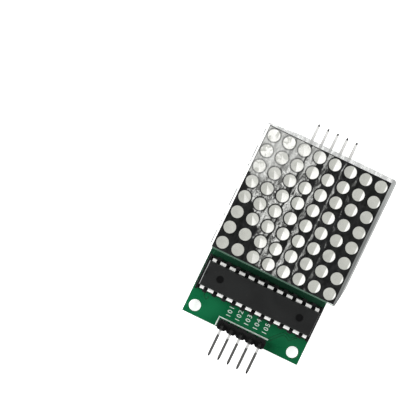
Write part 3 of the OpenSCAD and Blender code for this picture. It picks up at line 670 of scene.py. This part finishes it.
def make_solder():
    """Solder: bright tin with dull grainy patches and a brown halo of flux at its foot."""
    material, tree, shader = new_material("solder")
    place = place_in_mm(tree)
    drawn = use(tree, METAL, Place=place, Stretch=(0.5, 0.5, 0.5), Main=paint(212, 213, 214),
                Dull=paint(150, 151, 152), Smooth=0.14, Rough=0.42)
    flux = times(tree, ramp(tree, axes_of(tree, place)[2], -0.12, 0.02), 0.35)
    colour = blend_colours(tree, flux, drawn["Colour"], paint(146, 118, 66))
    finish_surface(tree, shader, colour, drawn, 0.3, 0.05, metallic=0.9)
    return material


def make_pin(name, main, dull, header, side, metallic):
    """A header pin, with painted shade along its edges and at its cut tip, a painted dark reflection where it
    bends and a painted highlight beside the block.

    side is -1 for a header whose pins point to the near side, 1 for the far side.
    """
    material, tree, shader = new_material(name)
    place = place_in_mm(tree)
    x, y, _ = axes_of(tree, place)
    drawn = use(tree, METAL, Place=place, Stretch=(1, 0.1, 1), Main=main, Dull=dull, Smooth=0.22, Rough=0.48)
    outer = 0 if side < 0 else 1
    tip, face = (abs(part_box(header + part)[outer].y) / MM for part in ("_pins", "_block"))
    out = times(tree, y, side)
    pitch = calc(tree, "FLOORED_MODULO", plus(tree, x, PIN_PITCH / 2), PIN_PITCH)
    across = calc(tree, "ABSOLUTE", minus(tree, pitch, PIN_PITCH / 2))
    flank = times(tree, ramp(tree, across, 0.22, 0.31), 0.6)
    cut = ramp(tree, out, tip - 0.75, tip - 0.45)
    beside = band(tree, out, face - 0.1, face + 0.1, face + 0.9, face + 1.2)
    bend = times(tree, fall(tree, out, face - 0.4, face - 0.1), 0.9)
    # Painted light: shade on the edges and tip, a dark reflection at the bend, a highlight beside the block.
    colour = layered(tree, drawn["Colour"], (
        (flank, paint(60, 60, 60)), (cut, paint(48, 48, 48)),
        (beside, paint(232, 232, 230)), (bend, paint(26, 26, 27))))
    finish_surface(tree, shader, colour, drawn, 0.3, 0.01, metallic=metallic)
    return material


def make_lead():
    """A driver lead: bright on its shoulder, with painted shade where it goes down into the socket."""
    material, tree, shader = new_material("lead_tin")
    place = place_in_mm(tree)
    drawn = use(tree, METAL, Place=place, Stretch=(1, 0.3, 1), Main=paint(252, 252, 250),
                Dull=paint(232, 232, 230), Smooth=0.3, Rough=0.5)
    # Painted shade low on the lead, where it goes into the socket.
    painted_shade_low = times(tree, fall(tree, axes_of(tree, place)[2], 7.5, 7.9), 0.45)
    colour = blend_colours(tree, painted_shade_low, drawn["Colour"], paint(120, 120, 118))
    finish_surface(tree, shader, colour, drawn, 0.3, 0.01, metallic=0.15)
    return material


GREEN = make_board_green()
TRACK_GREEN = moulded("track_green", paint(6, 76, 44), paint(8, 84, 50), patches=0.3, grain=6.0, smooth=0.25,
                      rough=0.45, bump=0.2, specular=0.2)
SILK = moulded("white_ink", paint(238, 246, 240), paint(214, 228, 219), patches=0.9, grain=7.0, smooth=0.55,
               rough=0.8, bump=0.6, depth=0.01)
PAD = metal("pad_tin", paint(214, 214, 210), paint(168, 168, 164), smooth=0.22, rough=0.5, metallic=0.9)
HEADER = moulded("header_black", paint(12, 12, 13), paint(19, 19, 20), patches=0.4, grain=8.0, dust=0.12,
                 specular=0.22)
# The pins of both headers are the same tin: one is painted as a dark reflection, the other as a bright one.
PIN_PAINTED_DARK = make_pin("pin_painted_dark", paint(108, 108, 106), paint(88, 88, 86), "input_header", side=-1,
                    metallic=0.35)
PIN_PAINTED_BRIGHT = make_pin("pin_painted_bright", paint(252, 252, 250), paint(232, 232, 229), "output_header", side=1,
                      metallic=0.1)
PLAIN_TIN = metal("lead_plain", paint(226, 226, 222), paint(176, 176, 172), (1, 1, 0.1), metallic=0.8)
STRIP = moulded("strip_black", paint(20, 20, 21), paint(28, 28, 29), patches=0.35, grain=7.0, dust=0.15,
                specular=0.3)
SOCKET = moulded("socket_black", paint(14, 14, 15), paint(22, 22, 23), patches=0.4, smooth=0.4, rough=0.65,
                 dust=0.2, specular=0.25)
GOLD = metal("contact_gold", paint(226, 190, 116), paint(190, 150, 84), (1, 1, 0.15), smooth=0.18, rough=0.4)
# The socket contacts are painted near black, as shade inside their slots.
BRONZE_PAINTED_SHADE = metal("contact_bronze_painted_shade", paint(24, 21, 17), paint(13, 12, 10), (1, 1, 0.15), smooth=0.6, rough=0.8,
               metallic=0.3)
HOUSING = moulded("housing_white", paint(204, 204, 200), paint(196, 196, 191), patches=0.12, grain=5.0,
                  smooth=0.3, rough=0.5, bump=0.3, mottle=0.02)
CHIP = metal("chip_gold", paint(206, 168, 92), paint(150, 120, 70), rough=0.4, metallic=0.8)
PLATE = moulded("plate_tan", paint(186, 162, 104), paint(168, 146, 92), patches=0.4, grain=5.0, smooth=0.5,
                rough=0.7)
FILLING = moulded("filling_resin", paint(206, 200, 180), paint(190, 184, 162), patches=0.18, grain=2.0,
                  smooth=0.15, rough=0.4, bump=0.3, depth=0.06, dust=0.2)
FILM = make_film()
CAN = metal("can_metal", paint(206, 208, 210), paint(170, 172, 174), (1, 1, 0.2), smooth=0.15, rough=0.35)
SEAL = moulded("seal_rubber", paint(30, 30, 31), paint(40, 40, 40), patches=0.5, grain=6.0, smooth=0.7,
               rough=0.85)
DISC = moulded("disc_orange", paint(196, 116, 44), paint(178, 98, 34), patches=0.5, grain=3.0, smooth=0.2,
               rough=0.45, bump=0.4, depth=0.04)

FINISHES = {
    "circuit_board": GREEN, "board_solder": make_solder(),
    "input_header_block": HEADER, "output_header_block": HEADER,
    "input_header_pins": PIN_PAINTED_DARK, "output_header_pins": PIN_PAINTED_BRIGHT,
    "near_strip_body": STRIP, "far_strip_body": STRIP,
    "near_strip_contacts": GOLD, "far_strip_contacts": GOLD,
    "socket_body": SOCKET, "socket_contacts": BRONZE_PAINTED_SHADE,
    "driver_body": make_driver_mould(), "driver_leads": make_lead(),
    "matrix_housing": HOUSING, "matrix_face_print": make_face_black(), "matrix_dots": make_dot_resin(),
    "matrix_chips": CHIP, "matrix_plate": PLATE, "matrix_filling": FILLING, "matrix_pins": PLAIN_TIN,
    "face_film": FILM,
    "capacitor_can": CAN, "capacitor_sleeve": make_sleeve(), "capacitor_seal": SEAL,
    "capacitor_leads": PLAIN_TIN, "disc_capacitor_body": DISC, "disc_capacitor_leads": PLAIN_TIN,
    "resistor_body": make_resistor_tan(), "resistor_leads": PLAIN_TIN,
}
for part, finish in FINISHES.items():
    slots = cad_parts[part].material_slots
    if len(slots):
        for one in slots:
            one.material = finish
    else:
        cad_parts[part].data.materials.append(finish)


# ---------- pieces ----------

INK_LIFT = 0.01 * MM        # how far the white ink and the pads stand off the board
TRACK_LIFT = 0.005 * MM
EASED_ANGLE = math.radians(40)


def settle(name, mesh, material):
    """A finished piece from a mesh in the row frame."""
    mesh.name = name
    if material:
        mesh.materials.clear()
        mesh.materials.append(material)
    piece = place_object(name, mesh)
    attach(piece, "root")
    return piece


def bake_modifiers(holder):
    """The plain mesh of an object after its modifiers. The object goes."""
    bpy.context.view_layer.update()
    shapes = bpy.context.evaluated_depsgraph_get()
    mesh = bpy.data.meshes.new_from_object(holder.evaluated_get(shapes), depsgraph=shapes)
    holder.modifiers.clear()
    bpy.data.objects.remove(holder)
    return mesh


def ease_edges(part, width):
    """Replaces a CAD part by a copy whose sharp edges are eased by that many millimetres."""
    name = part + "_eased"
    form = bmesh.new()
    form.from_mesh(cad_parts[part].data)
    bmesh.ops.remove_doubles(form, verts=form.verts, dist=1e-6)
    bmesh.ops.dissolve_limit(form, angle_limit=math.radians(1), verts=form.verts, edges=form.edges)
    mesh = bpy.data.meshes.new(name)
    form.to_mesh(mesh)
    form.free()
    holder = place_object(name, mesh)
    bevel = holder.modifiers.new("eased", "BEVEL")
    bevel.width = width * MM
    bevel.segments = 2
    bevel.limit_method = "ANGLE"
    bevel.angle_limit = EASED_ANGLE
    piece = settle(name, bake_modifiers(holder), FINISHES[part])
    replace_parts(piece, part)


def flow_tree(name, sizes):
    """A geometry tree with inputs for its sizes and finish, what it is given, and its output."""
    tree = bpy.data.node_groups.new(name, "GeometryNodeTree")
    for way in ("INPUT", "OUTPUT"):
        tree.interface.new_socket("Geometry", in_out=way, socket_type="NodeSocketGeometry")
    for label, value in sizes.items():
        socket = tree.interface.new_socket(label, in_out="INPUT", socket_type="NodeSocketFloat")
        socket.default_value = value
    tree.interface.new_socket("Finish", in_out="INPUT", socket_type="NodeSocketMaterial")
    return tree, tree.nodes.new("NodeGroupInput").outputs, tree.nodes.new("NodeGroupOutput")


def close_flow(tree, geometry, given, out):
    """Real geometry with its finish, into the tree's output."""
    real = add(tree, "GeometryNodeRealizeInstances", {"Geometry": geometry})
    done = add(tree, "GeometryNodeSetMaterial", {
        "Geometry": real.outputs["Geometry"], "Material": given["Finish"]})
    give(tree, out, Geometry=done.outputs["Geometry"])
    return tree


def run_tree(name, geometry, tree, values):
    """The plain mesh that a tree makes from a mesh or curve, with its inputs set by label."""
    holder = place_object(name, geometry)
    step = holder.modifiers.new(name, "NODES")
    step.node_group = tree
    for item in tree.interface.items_tree:
        if item.item_type == "SOCKET" and item.in_out == "INPUT" and item.name in values:
            step[item.identifier] = values[item.name]
    return bake_modifiers(holder)


def make_pad_tree():
    """A flat ring of tin at every point."""
    tree, given, out = flow_tree("pad_rings", {
        "Ring Radius": 0.75 * MM, "Ring Width": 0.5 * MM, "Ring Thickness": 0.04 * MM})
    circle = add(tree, "GeometryNodeCurvePrimitiveCircle", {"Resolution": 24, "Radius": given["Ring Radius"]})
    flat = add(tree, "GeometryNodeCurvePrimitiveQuadrilateral", {
        "Width": given["Ring Width"], "Height": given["Ring Thickness"]})
    ring = add(tree, "GeometryNodeCurveToMesh", {
        "Curve": circle.outputs["Curve"], "Profile Curve": flat.outputs["Curve"]})
    rings = add(tree, "GeometryNodeInstanceOnPoints", {
        "Points": given["Geometry"], "Instance": ring.outputs["Mesh"]})
    return close_flow(tree, rings.outputs["Instances"], given, out)


def make_line_tree():
    """A flat strip of a given width and height along every curve."""
    tree, given, out = flow_tree("laid_lines", {"Line Width": 0.3 * MM, "Line Height": 0.03 * MM})
    flat = add(tree, "GeometryNodeCurvePrimitiveQuadrilateral", {
        "Width": given["Line Width"], "Height": given["Line Height"]})
    laid = add(tree, "GeometryNodeCurveToMesh", {
        "Curve": given["Geometry"], "Profile Curve": flat.outputs["Curve"], "Fill Caps": True})
    return close_flow(tree, laid.outputs["Mesh"], given, out)


PADS = make_pad_tree()
LINES = make_line_tree()


def hole_places(socket_rows):
    """Where pins and leads pass through the board, in metres, from the CAD parts' own places."""
    places = []
    for part, count, rows in (("input_header_block", 5, (0,)), ("output_header_block", 5, (0,)),
                              ("near_strip_body", 8, (0,)), ("far_strip_body", 8, (0,)),
                              ("driver_body", 12, socket_rows)):
        centre = middle_of(part)
        for row in rows:
            for number in range(count):
                places.append((centre.x + (number - (count - 1) / 2) * PIN_PITCH * MM,
                               centre.y + row * PIN_PITCH * MM))
    for part in ("capacitor_leads", "disc_capacitor_leads", "resistor_leads"):
        low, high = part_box(part)
        reach, centre = (high - low) / 2, middle_of(part)
        wire = min(reach.x, reach.y)
        for side in (-1, 1):
            places.append((centre.x + side * (reach.x - wire), centre.y + side * (reach.y - wire)))
    return places


def lay_pads(name, height, radius, width, socket_rows):
    """Rings round the holes. socket_rows says which rows of the socket have them, in pin pitches."""
    points = bpy.data.meshes.new(name)
    points.from_pydata([(x, y, height) for x, y in hole_places(socket_rows)], [], [])
    mesh = run_tree(name, points, PADS, {
        "Ring Radius": radius * MM, "Ring Width": width * MM, "Ring Thickness": 0.04 * MM, "Finish": PAD})
    settle(name, mesh, None)


def lay_lines(name, runs, height, width, thick, finish):
    """Strips along runs of points that are given in millimetres. A closed run ends where it began."""
    curve = bpy.data.curves.new(name, "CURVE")
    curve.dimensions = "3D"
    for run in runs:
        closed = run[0] == run[-1]
        points = run[:-1] if closed else run
        spline = curve.splines.new("POLY")
        spline.points.add(len(points) - 1)
        for place, (x, y) in zip(spline.points, points):
            place.co = (x * MM, y * MM, height, 1)
        spline.use_cyclic_u = closed
    mesh = run_tree(name, curve, LINES, {
        "Line Width": width * MM, "Line Height": thick * MM, "Finish": finish})
    settle(name, mesh, None)


def outline_of(part, margin):
    """A closed run round a part's box, that many millimetres outside it."""
    low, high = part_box(part)
    left, near = low.x / MM - margin, low.y / MM - margin
    right, far = high.x / MM + margin, high.y / MM + margin
    return [(left, near), (right, near), (right, far), (left, far), (left, near)]


def round_outline(part, radius, count=32):
    """A closed round run about a part's middle, with its radius in millimetres."""
    middle = middle_of(part)
    x, y = middle.x / MM, middle.y / MM
    turns = [2 * math.pi * number / count for number in range(count)]
    ring = [(x + radius * math.cos(turn), y + radius * math.sin(turn)) for turn in turns]
    return ring + ring[:1]


def lay_board_prints():
    """White outlines round the parts, and a number beside each input pin."""
    top = board_high.z + INK_LIFT
    near = board_low.y / MM
    bracket = [(-6.62, near + 0.15), (-6.62, near + 2.5), (6.6, near + 2.5)]
    lay_lines("board_outlines", [
        bracket, outline_of("far_strip_body", 0.25), outline_of("near_strip_body", 0.25),
        outline_of("resistor_body", 0.4), outline_of("disc_capacitor_body", 0.3),
        round_outline("capacitor_can", 2.9)],
        height=top, width=0.38, thick=0.02, finish=SILK)

    step, shift, inward = 2.44, 0.15, 4.7
    header = middle_of("input_header_block")
    for number in range(5):
        words = bpy.data.curves.new("pin_number", "FONT")
        words.body = str(101 + number)
        words.size = 1.72 * MM
        words.space_character = 1.22
        words.offset = 0.004 * MM
        words.extrude = 0.01 * MM
        words.align_x, words.align_y = "CENTER", "CENTER"
        words.resolution_u = 3
        mesh = bake_modifiers(place_object("pin_number", words))
        place = Vector((header.x + ((number - 2) * step + shift) * MM, board_low.y + inward * MM, top))
        mesh.transform(Matrix.Translation(place) @ Euler((0, 0, math.pi / 2)).to_matrix().to_4x4())
        settle("pin_number_%d" % (number + 1), mesh, SILK)


def lay_board_tracks():
    """Copper under the mask: darker raised lines, on the top and on the underside."""
    upper = [
        [(6.4, -22.3), (9.1, -19.3), (10.3, -19.3), (11.3, -19.9), (12.4, -18.8)],
        [(7.0, -22.5), (9.3, -19.95), (10.2, -19.95), (11.2, -20.5), (12.9, -19.0)],
        [(-12.6, -18.6), (-12.3, -19.5), (-11.5, -20.2), (-11.1, -19.7), (-11.4, -19.2)],
        [(-14.6, -17.0), (-14.6, -6.4), (-12.0, -5.4), (12.0, -5.4), (14.6, -6.4), (14.6, 4.0)],
        [(-14.0, -6.9), (-11.7, -6.0), (11.7, -6.0), (14.0, -6.9)],
        [(-14.9, 0.0), (-14.9, 17.0), (-11.0, 18.2)], [(14.9, 6.0), (14.9, 17.0), (11.0, 18.2)],
        [(-5.08, 23.2), (-5.08, 18.2), (-9.0, 16.0), (-9.0, 12.9)],
    ]
    lower = []
    for number in range(8):
        x = (number - 3.5) * PIN_PITCH
        fan = 0.35 * number
        lower.append([(x, -3.6), (x, -1.6 - fan), (x + 1.4, 0.2 - fan), (x + 1.4, 17.6), (x, 20.4)])
    for number in range(12):
        x = (number - 5.5) * PIN_PITCH
        lower.append([(x, -10.19), (x * 0.72, -7.4), (x * 0.66, -3.6)])
    for number in range(5):
        x = (number - 2) * PIN_PITCH
        lower.append([(x, -24.0), (x * 1.5, -21.0), (x * 1.5 + 1.27, -17.81)])
    for side in (-1, 1):
        lower.append([(side * 14.4, -19.0), (side * 14.4, 19.0), (side * 5.08, 23.2)])
    for name, runs, height, width in (("top_tracks", upper, board_high.z + TRACK_LIFT, 0.28),
                                      ("underside_tracks", lower, board_low.z - TRACK_LIFT, 0.4)):
        lay_lines(name, runs, height, width, thick=0.03, finish=TRACK_GREEN)


# How far the film hangs past the face, in millimetres. On the right and far sides this grows from
# the least to the most over the length of a slant, which starts at the near and left ends.
NEAR_PAST, LEFT_PAST, LEAST_PAST, MOST_PAST = 0.35, 0.65, 0.35, 1.0
RIGHT_SLANT, FAR_SLANT = 4.85, 8.65


def film_outline(across, up):
    """A place on the film, in millimetres from the middle of the face, for 0..1 across and up."""
    growth = MOST_PAST - LEAST_PAST
    near, left = -face_half - NEAR_PAST, -face_half - LEFT_PAST
    height = up * (2 * face_half + NEAR_PAST + MOST_PAST)
    right = face_half + LEAST_PAST + growth * min(1.0, height / RIGHT_SLANT)
    x = left + across * (right - left)
    far = face_half + LEAST_PAST + growth * min(1.0, (x - left) / FAR_SLANT)
    y = near + up * (far - near)
    for radius, end_x, end_y, way_x, way_y in (
            (0.9, right, far, 1, 1), (0.5, right, near, 1, -1), (0.3, left, far, -1, 1)):
        past_x = (x - end_x) * way_x + radius
        past_y = (y - end_y) * way_y + radius
        if past_x > 0 and past_y > 0:
            pull = max(past_x, past_y) / math.hypot(past_x, past_y)
            x = end_x - way_x * (radius - past_x * pull)
            y = end_y - way_y * (radius - past_y * pull)
    return x, y


def make_face_sheet():
    """The film as a thin sheet: flat where it clings, raised in blisters and long creases elsewhere."""
    count, thickness = 150, 0.04 * MM
    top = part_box("face_film")[1].z
    long_height, fine_height, sunk = 0.10, 0.04, 0.05
    wide = count + 1
    corners = []
    for number in range(wide * wide):
        x, y = film_outline(number % wide / count, number // wide / count)
        p = x * math.cos(VIEW_TURN) + y * math.sin(VIEW_TURN)
        q = y * math.cos(VIEW_TURN) - x * math.sin(VIEW_TURN)
        along = noise.noise(Vector((p * 0.55, q * 0.16, 3.0)))
        fine = noise.noise(Vector((p * 1.3, q * 0.5, 9.0)))
        lifted = max(0.0, min(1.0, (-x - 0.094 * y + 3.0) / 6.0))
        rise = (long_height * abs(along) + fine_height * abs(fine)) * (0.25 + 0.75 * lifted)
        corners.append((face_middle.x + x * MM, face_middle.y + y * MM, top + (rise - sunk) * MM))
    faces = [(a, a + 1, a + wide + 1, a + wide)
             for row in range(count) for a in range(row * wide, row * wide + count)]
    mesh = bpy.data.meshes.new("face_sheet")
    mesh.from_pydata(corners, [], faces)
    for face in mesh.polygons:
        face.use_smooth = True
    holder = place_object("face_sheet", mesh)
    skin = holder.modifiers.new("thickness", "SOLIDIFY")
    skin.thickness = thickness
    skin.offset = -1
    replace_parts(settle("face_sheet", bake_modifiers(holder), FILM), "face_film")


for part, width, slot_name in (
        ("driver_body", 0.07, "driver_mould"), ("matrix_housing", 0.12, "housing_white"),
        ("input_header_block", 0.06, "header_black"), ("output_header_block", 0.06, "header_black"),
        ("near_strip_body", 0.06, "strip_black"), ("far_strip_body", 0.06, "strip_black"),
        ("socket_body", 0.05, "socket_black")):
    ease_edges(part, width)
lay_pads("upper_pads", board_high.z + INK_LIFT, radius=0.72, width=0.44, socket_rows=())
lay_pads("lower_pads", board_low.z - INK_LIFT, radius=0.8, width=0.5, socket_rows=(-1.5, 1.5))
lay_board_prints()
lay_board_tracks()
make_face_sheet()

bpy.context.scene.view_settings.view_transform = "Standard"
